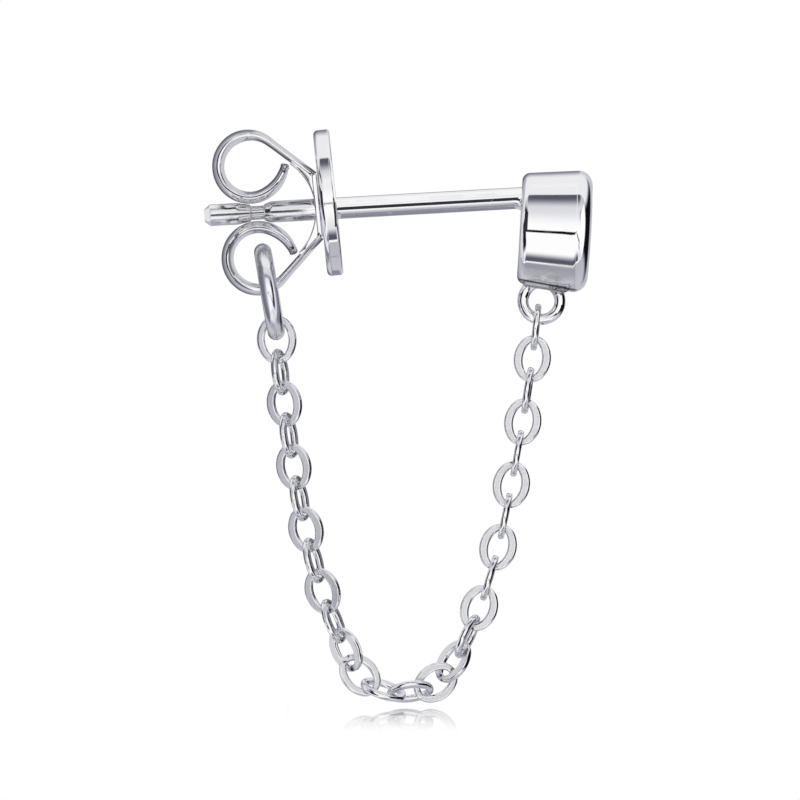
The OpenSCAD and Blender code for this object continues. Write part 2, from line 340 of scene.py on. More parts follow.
def post_shell():
    """Post: radius as a function of the place along the axis, turned about it. The flare at its foot grows
    as a quarter circle, times a power of how far a place is below the axis."""
    r = POST_D / 2
    tip_end = TIP_LEN - POST_TIP_LEN
    tip = rounded([
        [-POST_TIP_LEN, 0, 0], [-POST_TIP_LEN, TIP_FACE_D / 2, TIP_EDGE_R],
        [-POST_TIP_LEN + TIP_CHAMFER, r, TIP_EDGE_R], [tip_end, r, 0]
    ])
    back, front = -GROOVE_AT - GROOVE_HALF, -GROOVE_AT + GROOVE_HALF
    groove = rounded([
        [tip_end, r, 0], [-GROOVE_AT - SHOULDER_BACK, r, SHOULDER_R],
        [back, GROOVE_LIP_D / 2, GROOVE_LIP_R], [back + GROOVE_WALL, GROOVE_D / 2, GROOVE_FOOT_R],
        [front - GROOVE_WALL, GROOVE_D / 2, GROOVE_FOOT_R], [front, GROOVE_LIP_D / 2, GROOVE_LIP_R],
        [-GROOVE_AT + SHOULDER_FRONT, r, SHOULDER_R], [POST_HEAD_LEN - FOOT_LEN, r, 0]
    ])
    turn = np.linspace(0, math.pi / 2, FOOT_STEPS)
    foot = np.stack([POST_HEAD_LEN - FOOT_LEN * (1 - np.sin(turn)), r + 0 * turn], axis=1)
    inside = POST_HEAD_LEN + FOOT_IN_HEAD
    outline = np.concatenate([tip[:-1], groove[1:-1], foot, [[inside, r], [inside, 0]]])
    points = turned(outline, POST_SIDES)
    foot_rows = slice(-FOOT_STEPS - 2, -1)
    flare = np.concatenate([FOOT_FLARE * (1 - np.cos(turn)), [FOOT_FLARE]])[:, None]
    under = np.clip(-points[foot_rows, :, 2] / r, 0, 1) ** FLARE_POWER
    points[foot_rows, :, 1:] *= (1 + flare * under / r)[..., None]
    return skin(turn_y(points, -POST_TILT))


def head_shell():
    """Head: a drum that widens to its front, and a part of a sphere from where the front edge's arc ends,
    turned about the head's own axis."""
    flat_r = HEAD_FRONT_D / 2 - HEAD_FRONT_EDGE
    dome_r = (flat_r ** 2 + FACE_CROWN ** 2) / (2 * FACE_CROWN)
    front = HEAD_DEPTH - FACE_CROWN
    drum = rounded([
        [0, 0, 0], [0, HEAD_BACK_D / 2, HEAD_BACK_EDGE],
        [front, HEAD_FRONT_D / 2, HEAD_FRONT_EDGE], [front, 0, 0]
    ], HEAD_ARC_STEPS)
    y = np.linspace(flat_r, 0, DOME_PLACES)
    dome = np.stack([HEAD_DEPTH - dome_r + np.sqrt(dome_r ** 2 - y ** 2), y], axis=1)
    return skin(on_head(turned(np.concatenate([drum[:-2], dome]), HEAD_SIDES)))


def on_head(points):
    """Points on the head's own axis, with its back at zero, put in the earring's frame."""
    tilt = math.radians(POST_TILT)
    foot = (POST_HEAD_LEN * math.cos(tilt), POST_HEAD_LEN * math.sin(tilt))
    return moved(turn_y(moved(points, z=-POST_OFFSET), HEAD_TILT), x=foot[0], z=foot[1])


def pad_shell():
    """Solder pad: a rounded rectangle with its lower rim rounded by a quarter circle. A layer is the plan,
    scaled, at its height."""
    x, y = PAD_LEN / 2, PAD_W / 2
    plan = rounded([[*at, PAD_EDGE_R] for at in ((-x, -y), (x, -y), (x, y), (-x, y))], PAD_ARC_STEPS)
    turn = np.linspace(0, math.pi / 2, PAD_RIM_PLACES)
    rim = PAD_EDGE_R * (1 - np.cos(turn)) - PAD_DROP
    scales = [0, *(1 - PAD_EDGE_R * (1 - np.sin(turn)) / y), 1, 0]
    heights = [rim[0], *rim, PAD_RISE, PAD_RISE]
    layers = [np.column_stack([s * plan, np.full(len(plan), h)]) for s, h in zip(scales, heights)]
    points = moved(np.stack(layers), x=PAD_BACK + x)
    flare = math.degrees(math.atan((HEAD_FRONT_D - HEAD_BACK_D) / 2 / HEAD_DEPTH))
    return skin(on_head(moved(turn_y(points, flare), z=-HEAD_BACK_D / 2)))


def bail_shell():
    """Bail: a torus of wire in the plane of the chain."""
    wire_r = BAIL_WIRE_D / 2
    level = ring(BAIL_HOLE_D / 2 + wire_r, wire_r, *BAIL_SIDES)
    upright = level[..., [0, 2, 1]]
    return skin(moved(upright, x=BAIL_AT[0], z=BAIL_AT[1]), wrap_rows=True)


def make_stud():
    """Post, head, pad and bail, soldered into one piece."""
    stud = make_object("stud_finished", head_shell())
    parts = [make_object("part", shell) for shell in (post_shell(), pad_shell(), bail_shell())]
    combine(stud, parts, "UNION")
    return stud


def on_nut(points):
    """Points on the ear nut's own axis, with its disc's middle at zero, put in the earring's frame."""
    return moved(turn_y(points, -NUT_TILT), x=NUT_AT[0], z=NUT_AT[1])


def make_disc():
    """Disc: a ring-shaped plate with rounded edges, turned about the nut's axis."""
    t, r, hole = DISC_T / 2, DISC_D / 2, NUT_HOLE_D / 2
    outline = rounded([
        [-t, hole, NUT_HOLE_EDGE], [-t, r, DISC_BACK_EDGE], [t, r, DISC_FRONT_EDGE], [t, hole, NUT_HOLE_EDGE]
    ], DISC_ARC_STEPS)
    return make_object("ear_nut_disc_finished", skin(on_nut(turned(outline, DISC_SIDES)), wrap_rows=True))


def wing():
    """What fixes one wing: its foot on the plate, the scroll's middle, the wing's direction in radians and
    its length, from the tangent line through the foot to the scroll's circle."""
    foot = np.array([-DISC_T / 2 - PLATE_GAP - PLATE_T / 2, PLATE_HALF])
    middle = np.array([-SCROLL_BACK, SCROLL_OUT])
    reach = middle - foot
    away = np.linalg.norm(reach)
    length = math.sqrt(away ** 2 - SCROLL_R ** 2)
    angle = math.atan2(reach[1], reach[0]) - math.asin(SCROLL_R / away)
    return foot, middle, angle, length


def strip_path():
    """Middle line of the strip in the nut's plane, its normal and the way run, from the wing's foot along
    the straight wing, round the scroll and along the tail's wider arc."""
    _, middle, angle, length = wing()
    start = angle - math.pi / 2
    end = start + math.radians(SCROLL_SWEEP)
    touch = middle + SCROLL_R * np.array([math.cos(start), math.sin(start)])
    along = np.array([math.cos(angle), math.sin(angle)])
    line = touch + np.linspace(-length, 0, WING_STEPS, endpoint=False)[:, None] * along
    line_normal = np.repeat([[math.cos(start), math.sin(start)]], len(line), axis=0)
    a = np.linspace(start, end, SCROLL_STEPS, endpoint=False)[:, None]
    round_normal = np.concatenate([np.cos(a), np.sin(a)], axis=1)
    circle = middle + SCROLL_R * round_normal
    b = end + np.radians(np.linspace(0, TAIL_SWEEP, TAIL_STEPS))[:, None]
    tail_normal = np.concatenate([np.cos(b), np.sin(b)], axis=1)
    tail_middle = middle + (SCROLL_R - TAIL_R) * tail_normal[0]
    tail = tail_middle + TAIL_R * tail_normal
    path = np.concatenate([line, circle, tail])
    normal = np.concatenate([line_normal, round_normal, tail_normal])
    steps = np.linalg.norm(np.diff(path, axis=0), axis=1)
    return path, normal, np.concatenate([[0], np.cumsum(steps)])


def half_section(half_t, edge_r):
    """Half of the strip's section, from the middle of one edge over a face to the other: thickness and width
    places for each half thickness given. The face rises as a parabola over the width."""
    k = np.minimum(1, half_t / FULL_HALF_T)[:, None]
    edge = np.radians(np.linspace(0, EDGE_TO, EDGE_PLACES))[None, :]
    turn = np.radians(np.linspace(EDGE_TO, TURN_TO, TURN_PLACES))[None, 1:]
    t1, w1 = edge_r * k * np.sin(edge), STRIP_W / 2 - edge_r * k * (1 - np.cos(edge))
    t2 = t1[:, -1:] + TURN_R * k * (np.sin(turn) - np.sin(edge[:, -1:]))
    w2 = w1[:, -1:] - TURN_R * k * (np.cos(edge[:, -1:]) - np.cos(turn))
    across = np.linspace(1, 0, FACE_PLACES)[None, 1:]
    t3 = t2[:, -1:] + (half_t[:, None] - t2[:, -1:]) * (1 - across ** 2)
    t = np.concatenate([t1, t2, t3], axis=1)
    w = np.concatenate([w1, w2, w2[:, -1:] * across], axis=1)
    return np.concatenate([t, t[:, -2::-1]], axis=1), np.concatenate([w, -w[:, -2::-1]], axis=1)


def capped(rows):
    """Rows of a tube, closed at both ends by a row drawn together in its middle."""
    first, last = (np.repeat(rows[i].mean(axis=0)[None, None], rows.shape[1], axis=1) for i in (0, -1))
    return np.concatenate([first, rows, last])


def strip_half(side, rng):
    """One wing and scroll: the section carried along the path. It grows from the wing to the scroll, and the
    tail thins, mostly on its outer side, to a torn tip, whose rough places are seeded random ones."""
    path, normal, run = strip_path()
    _, _, _, length = wing()
    grow = np.clip((run - length + GROW_AHEAD) / GROW_LEN, 0, 1)
    half_t = WING_T / 2 + (STRIP_T - WING_T) / 2 * grow * grow * (3 - 2 * grow)
    opened = np.maximum(0, run - length - SCROLL_R * math.radians(SCROLL_SWEEP)) / TAIL_R
    thinned = 1 - np.cos(opened)
    ridge = RIDGE * half_t * 2 / STRIP_T
    outer_t, outer_w = half_section(half_t + ridge - TAIL_CUT_OUT * thinned, OUTER_EDGE_R)
    inner_t, inner_w = half_section(half_t - ridge - TAIL_CUT_IN * thinned, INNER_EDGE_R)
    t = np.concatenate([outer_t, -inner_t[:, -2:0:-1]], axis=1) - ridge[:, None]
    w = np.concatenate([outer_w, inner_w[:, -2:0:-1]], axis=1)
    x = path[:, None, 0] + normal[:, None, 0] * t
    z = path[:, None, 1] + normal[:, None, 1] * t
    points = np.stack([x, w, side * z], axis=-1)
    along = path[-1] - path[-2]
    along = np.array([along[0], 0, side * along[1]]) / np.linalg.norm(along)
    tip = points[-1].mean(axis=0)
    ends = [tip + (points[-1] - tip) * share + along * ahead for share, ahead in TIP_ROWS]
    points = np.concatenate([points, ends])
    torn = points[-len(TORN):]
    torn += np.array(TORN)[:, None, None] * rng.uniform(-1, 1, torn.shape)
    return capped(points)


def even(places, count):
    """Places along a polyline at even shares of its length."""
    run = np.concatenate([[0], np.cumsum(np.linalg.norm(np.diff(places, axis=0), axis=1))])
    share = np.linspace(0, run[-1], count)
    return np.stack([np.interp(share, run, places[:, i]) for i in range(2)], axis=1)


def plate_shell(free, against, half_w, edge):
    """Stretch of the scroll between two lines in the nut's plane, which end in its middle and are mirrored
    there: its free side and the one against the disc. Quarter circles round the section's corners."""
    mirror = np.array([1, -1])
    free = np.concatenate([free, (free * mirror)[-2::-1]])[:, None, :]
    against = np.concatenate([against, (against * mirror)[-2::-1]])[:, None, :]
    turn = np.linspace(0, math.pi / 2, PLATE_CORNER_PLACES)
    deep, wide = edge * (1 - np.sin(turn)), half_w - edge * (1 - np.cos(turn))
    near = np.concatenate([deep, deep[::-1]])[None, :] / np.linalg.norm(against - free, axis=-1)
    share = np.concatenate([near, 1 - near], axis=1)[..., None]
    width = np.concatenate([wide, -wide[::-1], -wide, wide[::-1]])[None, :] + 0 * share[..., 0]
    plan = free + (against - free) * share
    points = np.stack([plan[..., 0], width, plan[..., 1]], axis=-1)
    return skin(on_nut(moved(capped(points), z=-SCROLL_DROP)))


def make_plate():
    """The strip's flat stretch against the disc, and the narrower webs that smooth both its bends."""
    foot, _, angle, _ = wing()
    along = np.array([math.cos(angle), math.sin(angle)])
    inward = np.array([-math.sin(angle), math.cos(angle)])
    bend = foot + BEND_IN * inward - along * (PLATE_T / 2 + BEND_IN * inward[0]) / along[0]
    on_wing = bend + BEND_LEN * along
    top = on_wing - BEND_IN * inward
    face = -DISC_T / 2 - PLATE_GAP
    web_face = face - WEB_BACK
    free = rounded([[*on_wing, 0], [*bend, BEND_R], [bend[0], 0, 0]], BEND_ARC_STEPS)
    against = rounded([[*top, 0], [web_face, foot[1], WEB_CORNER_R], [web_face, 0, 0]], WEB_ARC_STEPS)
    webs = plate_shell(even(free, WEB_STEPS), even(against, WEB_STEPS), WEB_W / 2, WEB_EDGE_R)
    end = foot[1] + PLATE_OVER
    free, against = (even(np.array([[x, end], [x, 0]]), PLATE_STEPS) for x in (face - PLATE_T, face))
    plate = plate_shell(free, against, PLATE_W / 2, PLATE_EDGE_R)
    return [make_object("part", shell) for shell in (webs, plate)]


def make_scroll():
    """Scroll of the ear nut: one strip's plate, wings and scrolls, and the post's hole through the plate."""
    rng = np.random.default_rng(TEAR_SEED)
    upper, lower = (skin(on_nut(moved(strip_half(side, rng), z=-SCROLL_DROP))) for side in (1, -1))
    scroll = make_object("ear_nut_scroll_finished", upper)
    combine(scroll, [make_object("part", lower), *make_plate()], "UNION")
    r = NUT_HOLE_D / 2
    outline = np.array([[-DRILL_BACK, 0], [-DRILL_BACK, r], [DRILL_FRONT, r], [DRILL_FRONT, 0]])
    drill = moved(turned(outline, HOLE_SIDES), x=-DISC_T / 2)
    combine(scroll, [make_object("drill", skin(on_nut(drill)))], "DIFFERENCE")
    return scroll


def make_ring():
    """Jump ring: a torus of wire, edge on to the camera and leaning with its foot towards the head."""
    wire_r = RING_WIRE_D / 2
    torus = turn_y(ring(RING_D / 2 - wire_r, wire_r, *RING_SIDES), 90 - RING_LEAN)
    return make_object("jump_ring_finished", skin(moved(torus, x=RING_AT[0], z=RING_AT[1]), wrap_rows=True))


def own_frame(node):
    """Middle of a link's solid, its width, length and thickness directions, and its size along them. The
    directions are the principal axes of its surface, each triangle weighed by its area."""
    mesh = node.data
    mesh.calc_loop_triangles()
    co = np.zeros(len(mesh.vertices) * 3)
    mesh.vertices.foreach_get("co", co)
    co = co.reshape(-1, 3) / MM
    tri = np.zeros(len(mesh.loop_triangles) * 3, np.int32)
    mesh.loop_triangles.foreach_get("vertices", tri)
    corners = co[tri.reshape(-1, 3)]
    sides = corners[:, 1:] - corners[:, :1]
    area = np.linalg.norm(np.cross(sides[:, 0], sides[:, 1]), axis=1)
    places = corners.mean(axis=1)
    middle = (places * area[:, None]).sum(axis=0) / area.sum()
    spread = ((places - middle).T * area) @ (places - middle)
    _, axes = np.linalg.eigh(spread)
    thickness, width, length = axes[:, 0], axes[:, 1], axes[:, 2]
    thickness = thickness * (-1 if thickness[1] > 0 else 1)
    length = length * (-1 if length[2] < 0 else 1)
    width = np.cross(length, thickness)
    axes = np.stack([width, length, thickness])
    reach = (co - middle) @ axes.T
    return middle, axes, reach.max(axis=0) - reach.min(axis=0)


# A link's oval has four arcs, with their middles on a 3-4-5 triangle: its shares across and along the link
ACROSS = 0.8
ALONG = 0.6


def oval(length, width, angle):
    """Place on the oval where its normal points along the angle from the width axis. The arcs meet where the
    normal lies along the triangle's long side."""
    apart = (length - width) / 2 / (ACROSS + ALONG - 1)
    end_r = length / 2 - ALONG * apart
    side_r = end_r + apart
    c, s = np.cos(angle), np.sin(angle)
    on_side = np.abs(s) <= ALONG
    x = np.where(on_side, side_r * c - np.sign(c) * ACROSS * apart, end_r * c)
    y = np.where(on_side, side_r * s, end_r * s + np.sign(s) * ALONG * apart)
    return np.stack([x, y], axis=-1)


def link_points(length, width, side_band):
    """Link in its own frame: at each angle the section runs from the inner oval to the outer one. Its faces
    are flat, and each corner is a quarter of an ellipse from the face to the edge's middle."""
    angle = (np.arange(LINK_STEPS) + 0.5) * 2 * math.pi / LINK_STEPS
    outer = oval(length, width, angle)[:, None, :]
    inner = oval(length - 2 * LINK_END_BAND, width - 2 * side_band, angle)[:, None, :]
    band = np.linalg.norm(outer - inner, axis=-1)
    turn = np.linspace(0, math.pi / 2, CORNER_PLACES)
    across = np.concatenate([LINK_CORNER * (1 - np.cos(turn)), [LINK_CORNER * FACE_START]])[None, :]
    rise = np.concatenate([np.sin(turn), [1.0]])[None, :] * LINK_T / 2
    near = across / band
    far = 1 - near[:, ::-1]
    share = np.concatenate([near, far, far[:, ::-1][:, 1:], near[:, ::-1][:, :-1]], axis=1)
    top = np.concatenate([rise, rise[:, ::-1]], axis=1)
    height = np.concatenate([top, -top[:, ::-1][:, 1:-1]], axis=1) + 0 * share
    plan = inner + (outer - inner) * share[..., None]
    return np.concatenate([plan, height[..., None]], axis=-1)


def make_link(number):
    """One chain link on its own solid: its size and turn come from the solid's principal axes."""
    name = f"link_{number:02d}"
    middle, axes, size = own_frame(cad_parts[name])
    side_band = LINK_SIDE_BAND if number in TURNED_LINKS else STRAND_SIDE_BAND
    points = link_points(size[1], size[0], side_band)
    return make_object(name + "_finished", skin(points @ axes + middle, wrap_rows=True))


# Materials, with places in millimetres. A pair of places is a step's start and end, and four are a window,
# closed outside the outer two and open between the inner two. Specks and the drift are a noise's scale, in
# cells a metre, and the values that they rise between. A grain is a noise's scale and detail, and a depth.
DRIFT = (1400.0, 0.3, 0.75)
ROUGH_LEAST = 0.6
ROUGH_SPAN = 0.9

# Stud: the solder at the bail's foot, the pad's satin front with painted shade along its upper crease, the
# head's under side and the post's end. The pad's lines follow the head's rim, which drops towards the front.
SOLDER_X = (4.2, 4.5, 5.0, 5.2)
SOLDER_Z = (-3.32, -3.2, -2.95, -2.86)
SOLDER_SPECKS = (14000.0, 0.5, 0.58)
SOLDER_GRAIN = (16000.0, 3.0, 0.05)
RIM_SLOPE = 0.19
PAD_SATIN = (-2.07, -2.13)
PAD_CREASE_SHADE = (-2.15, -2.12, -2.09, -2.06)
PAD_FRONT = (-0.42, -0.5)
HEAD_UNDER = (-2.1, -2.5)
POST_END = (-4.0, -4.3)

# Ear nut: painted shade, as dark specks on the scroll's two torn tips and its two sharp bends, as [x, z,
# reach]
TIP_BEND_SHADE = [(-5.1, 1.24, 0.2), (-4.79, -1.65, 0.2), (-4.16, 1.04, 0.1), (-3.87, -1.14, 0.1)]
TIP_BEND_SHADE_CORE = 0.7
TIP_BEND_SHADE_SPECKS = (11000.0, 0.47, 0.55)

# Links: their flat faces are columns of the mesh's section, and their ends shares of the way round them
SECTION_COLUMNS = 4 * (CORNER_PLACES + 1) - 2
FACE_COLUMN = CORNER_PLACES
FACE_ROUGHNESS = 0.24
FACE_GRAIN = (24000.0, 2.0, 0.001)
LINK_END = (0.18, 0.21, 0.29, 0.32)
LINK_END_SHADE_SPECKS = (9000.0, 0.52, 0.6)


class Sums:
    """Arithmetic on a node tree's sockets, one node for each step."""

    def __init__(self, tree):
        self.tree = tree

    def do(self, operation, *values):
        """A Math node's result. Values are numbers or sockets."""
        node = self.tree.nodes.new("ShaderNodeMath")
        node.operation = operation
        for i, value in enumerate(values):
            if isinstance(value, (int, float)):
                node.inputs[i].default_value = value
            else:
                self.tree.links.new(value, node.inputs[i])
        return node.outputs[0]

    def product(self, first, *others):
        """All the values multiplied."""
        for other in others:
            first = self.do("MULTIPLY", first, other)
        return first

    def step(self, value, low, high):
        """0 below low, 1 above high and a smooth rise between. With low over high it falls."""
        node = self.tree.nodes.new("ShaderNodeMapRange")
        node.interpolation_type = "SMOOTHSTEP"
        ends = (high, low, 1.0, 0.0) if low > high else (low, high, 0.0, 1.0)
        for name, end in zip(("From Min", "From Max", "To Min", "To Max"), ends):
            node.inputs[name].default_value = end
        self.tree.links.new(value, node.inputs["Value"])
        return node.outputs["Result"]

    def window(self, value, low, low_full, high_full, high):
        """1 between the two full places, and 0 outside the low and high ones."""
        return self.product(self.step(value, low, low_full), self.step(value, high, high_full))

    def mix(self, value, target, share):
        """The value, moved to the target by the share."""
        difference = self.do("SUBTRACT", target, value)
        return self.do("MULTIPLY_ADD", difference, share, value)

    def split(self, source):
        """X, Y and Z of a texture coordinate."""
        place = self.tree.nodes.new("ShaderNodeTexCoord")
        node = self.tree.nodes.new("ShaderNodeSeparateXYZ")
        self.tree.links.new(place.outputs[source], node.inputs[0])
        return node.outputs

    def places(self):
        """X, Y and Z of the object's own coordinates, in millimetres."""
        return [self.product(place, 1 / MM) for place in self.split("Object")]

    def noise(self, scale, detail=2.0):
        """3-D noise over the object's own coordinates, with so many cells a metre."""
        place = self.tree.nodes.new("ShaderNodeTexCoord")
        node = self.tree.nodes.new("ShaderNodeTexNoise")
        node.inputs["Scale"].default_value = scale
        node.inputs["Detail"].default_value = detail
        self.tree.links.new(place.outputs["Object"], node.inputs["Vector"])
        return node.outputs["Fac"]

    def spots(self, scale, low, high):
        """Spots of noise: 0 below the low value, 1 above the high one."""
        return self.step(self.noise(scale), low, high)


def bump(tree, height, depth, before=None):
    """A bump of the depth in millimetres, on top of another bump's normal where one is given."""
    node = tree.nodes.new("ShaderNodeBump")
    node.inputs["Distance"].default_value = depth * MM
    tree.links.new(height, node.inputs["Height"])
    if before:
        tree.links.new(before.outputs["Normal"], node.inputs["Normal"])
    return node


def polished(name, base, roughness, wave_size, wave_depth):
    """Mirror-polished plated silver. The roughness drifts over the surface, and a wide soft wave stands for
    hand polishing. Returns the material, its arithmetic, its shader, the roughness and the wave's bump."""
    material = bpy.data.materials.new(name)
    material.use_nodes = True
    tree = material.node_tree
    sums = Sums(tree)
    shader = tree.nodes["Principled BSDF"]
    shader.inputs["Metallic"].default_value = 1.0
    shader.inputs["Base Color"].default_value = (*base, 1.0)
    drift = sums.spots(*DRIFT)
    rough = sums.do("MULTIPLY_ADD", drift, ROUGH_SPAN * roughness, ROUGH_LEAST * roughness)
    tree.links.new(rough, shader.inputs["Roughness"])
    wave = bump(tree, sums.noise(1 / (wave_size * MM), 1.0), wave_depth)
    tree.links.new(wave.outputs["Normal"], shader.inputs["Normal"])
    return material, sums, shader, rough, wave


def grained(sums, shader, wave, where, scale, detail, depth):
    """A fine grain on top of the shader's wave, only where the mask lets it."""
    grain = bump(sums.tree, sums.product(sums.noise(scale, detail), where), depth, wave)
    sums.tree.links.new(grain.outputs["Normal"], shader.inputs["Normal"])


def duller(tree, shader, share, colour):
    """The shader's colour, moved to another one by the share."""
    mix = tree.nodes.new("ShaderNodeMix")
    mix.data_type = "RGBA"
    mix.inputs["A"].default_value = shader.inputs["Base Color"].default_value
    for link in shader.inputs["Base Color"].links:
        tree.links.new(link.from_socket, mix.inputs["A"])
    mix.inputs["B"].default_value = (*colour, 1.0)
    tree.links.new(share, mix.inputs["Factor"])
    tree.links.new(mix.outputs["Result"], shader.inputs["Base Color"])


def make_stud_silver():
    """Polished silver, with a satin front on the solder pad, painted shade along its upper crease, and rough
    solder round the bail's foot.
    """
    material, sums, shader, rough, wave = polished("stud_silver", (0.93, 0.93, 0.935), 0.06, 1.2, 0.0012)
    tree = material.node_tree
    x, y, z = sums.places()
    rim = sums.do("MULTIPLY_ADD", x, RIM_SLOPE, z)
    front = sums.step(y, *PAD_FRONT)
    solder = sums.product(sums.window(z, *SOLDER_Z), sums.window(x, *SOLDER_X))
    satin = sums.product(sums.step(rim, *PAD_SATIN), front)
    # Painted shade: a dark line along the pad's upper crease
    crease_shade = sums.product(sums.window(rim, *PAD_CREASE_SHADE), front)
    under = sums.product(sums.step(z, *HEAD_UNDER), front)
    specks_with_painted_shade = sums.do("MAXIMUM", sums.product(sums.spots(*SOLDER_SPECKS), solder), crease_shade)
    duller(tree, shader, satin, (0.5, 0.5, 0.51))
    # The solder's own dark specks, and the painted shade line along the pad's crease, darken the colour
    duller(tree, shader, specks_with_painted_shade, (0.09, 0.09, 0.1))
    for share, more in ((satin, 0.1), (under, 0.16), (sums.step(x, *POST_END), 0.13), (solder, 0.22)):
        rough = sums.do("MULTIPLY_ADD", share, more, rough)
    tree.links.new(rough, shader.inputs["Roughness"])
    grained(sums, shader, wave, solder, *SOLDER_GRAIN)
    return material


def make_nut_silver():
    """Polished silver of the ear nut, with dark specks of painted shade on the scroll's torn tips and bends.
    """
    material, sums, shader, _, _ = polished("nut_silver", (0.92, 0.92, 0.925), 0.07, 0.8, 0.0005)
    x, _, z = sums.places()
    near = 0.0
    for at_x, at_z, reach in TIP_BEND_SHADE:
        dx, dz = sums.do("SUBTRACT", x, at_x), sums.do("SUBTRACT", z, at_z)
        away = sums.do("SQRT", sums.do("MULTIPLY_ADD", dx, dx, sums.product(dz, dz)))
        near = sums.do("ADD", near, sums.step(away, reach, TIP_BEND_SHADE_CORE * reach))
    # Painted shade: dark specks that stand for the dark the rough torn tips and tight bends mirror
    specks_with_painted_shade = sums.product(sums.spots(*TIP_BEND_SHADE_SPECKS), near)
    duller(sums.tree, shader, specks_with_painted_shade, (0.05, 0.05, 0.06))
    return material


def make_chain_silver():
    """Silver of the links: brushed on their flat faces and polished elsewhere, with painted shade as dark
    specks on the ends, where they touch. The faces are two ranges of the mesh's v, which runs round the
    link's section, and the ends two of its u, which runs round the link."""
    material, sums, shader, rough, wave = polished("chain_silver", (0.92, 0.92, 0.93), 0.08, 0.4, 0.0003)
    tree = material.node_tree
    place = tree.nodes.new("ShaderNodeUVMap")
    place.uv_map = "along"
    split = tree.nodes.new("ShaderNodeSeparateXYZ")
    tree.links.new(place.outputs["UV"], split.inputs[0])
    u, v, _ = split.outputs
    top_face = (FACE_COLUMN + 0.5) / SECTION_COLUMNS
    faces = [sums.do("COMPARE", v, face, 0.51 / SECTION_COLUMNS) for face in (top_face, top_face + 0.5)]
    brushed = sums.do("ADD", *faces)
    tree.links.new(sums.do("MULTIPLY_ADD", brushed, FACE_ROUGHNESS, rough), shader.inputs["Roughness"])
    grained(sums, shader, wave, brushed, *FACE_GRAIN)
    duller(tree, shader, brushed, (0.79, 0.79, 0.82))
    ends = sums.do("ADD", *(sums.window(u, *(place + half for place in LINK_END)) for half in (0.0, 0.5)))
    # Painted shade: dark specks on the ends, where the links touch and keep the light from each other
    duller(tree, shader, sums.product(sums.spots(*LINK_END_SHADE_SPECKS), ends), (0.1, 0.1, 0.12))
    return material


def finish(obj, material, slot, *nodes):
    """The piece takes its material, rides with the earring and stands for its nodes."""
    obj.data.materials.clear()
    obj.data.materials.append(material)
    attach(obj, "root")
    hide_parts(*nodes)


stud_silver = make_stud_silver()
nut_silver = make_nut_silver()
chain_silver = make_chain_silver()
ring_silver = polished("ring_silver", (0.92, 0.92, 0.93), 0.22, 0.8, 0.0005)[0]

finish(make_stud(), stud_silver, "stud_silver", "stud")
finish(make_disc(), nut_silver, "nut_silver", "ear_nut_disc")
finish(make_scroll(), nut_silver, "nut_silver", "ear_nut_scroll")
finish(make_ring(), ring_silver, "chain_silver", "jump_ring")
for number in range(1, LINKS + 1):
    finish(make_link(number), chain_silver, "chain_silver", f"link_{number:02d}")


# Studio: a white tent round the earring, with dark gaps between its panels that draw the lines on the
# metal. Its brightness is a function of the direction that the metal mirrors: x and z are its own, forward
# points to the camera, 'over' is the angle in degrees from the camera over the top, 'under' the same below
# it, 'slant' that one tilted with the table's edge, and 'behind' the angle from the backdrop's middle. Pairs
# and fours are steps and windows, as for the materials.
TENT_WHITE = 1.06
DARK_TINT = (0.78, 0.79, 1.0)
DEGREES = 180 / math.pi

# The front panel falls off towards its top, and the roof starts behind it, lighter again
PANEL_FALL = (4.0, 44.0)
PANEL_TOP_GREY = 0.9
ROOF = (73.0, 77.0)
ROOF_GREY = 0.96

# The table, with a white line along its edge, which rises to the right as far as SLANT_TO_X
SLANT = 31.0
SLANT_TO_X = 0.09
SLANT_LIFT = 6.2
TABLE = (71.0, 72.0)
TABLE_LINE = (71.0, 72.0, 74.0, 76.0)
TABLE_BACK = (80.0, 130.0)
TABLE_RIGHT = (-0.04, 0.04)
TABLE_RIGHT_SHARE = 0.8
TABLE_GREY = 0.64
TABLE_BACK_GREY = 0.84
TABLE_RIGHT_GREY = 0.8

# Dark gaps over and under the front panel, lighter at both ends, and closed where the post mirrors them
TOP_GAP = (44.0, 67.0, 73.0, 74.5)
TOP_GAP_CLOSED = (-0.064, -0.059, -0.03, -0.025)
LOW_GAP = (46.0, 64.0, 70.5, 71.5)
LOW_GAP_CLOSED = (0.025, 0.03, 0.059, 0.064)
GAP_ENDS = (0.26, 0.4)
GAP_ENDS_LIGHTER = 0.75
GAP_GREY = 0.38

# The narrow bands over and under the camera that the post mirrors
POST_OVER_X = (-0.07, -0.062, -0.028, -0.02)
POST_OVER = (15.0, 40.0, 90.0, 110.0)
POST_UNDER_X = (0.02, 0.028, 0.061, 0.068)
POST_UNDER = (5.0, 95.0)
POST_UNDER_GREY = 0.55
POST_UNDER_SHARE = 0.9

# Gaps beside the front panel: the grey shown, the step of x, and the windows of forward and z
LEFT = (-0.3, -0.42)
RIGHT = (0.3, 0.42)
SIDE_GAPS = [
    (0.76, LEFT, (-0.85, -0.7, -0.35, -0.2), (-0.75, -0.5, 0.55, 0.72)),
    (0.2, LEFT, (-0.35, -0.2, 0.15, 0.35), (-0.38, -0.25, 0.3, 0.48)),
    (0.14, LEFT, (0.2, 0.32, 0.8, 0.88), (-0.75, -0.5, 0.55, 0.72)),
    (0.08, RIGHT, (-0.85, -0.7, 0.78, 0.88), (-0.65, -0.4, 0.4, 0.65)),
]

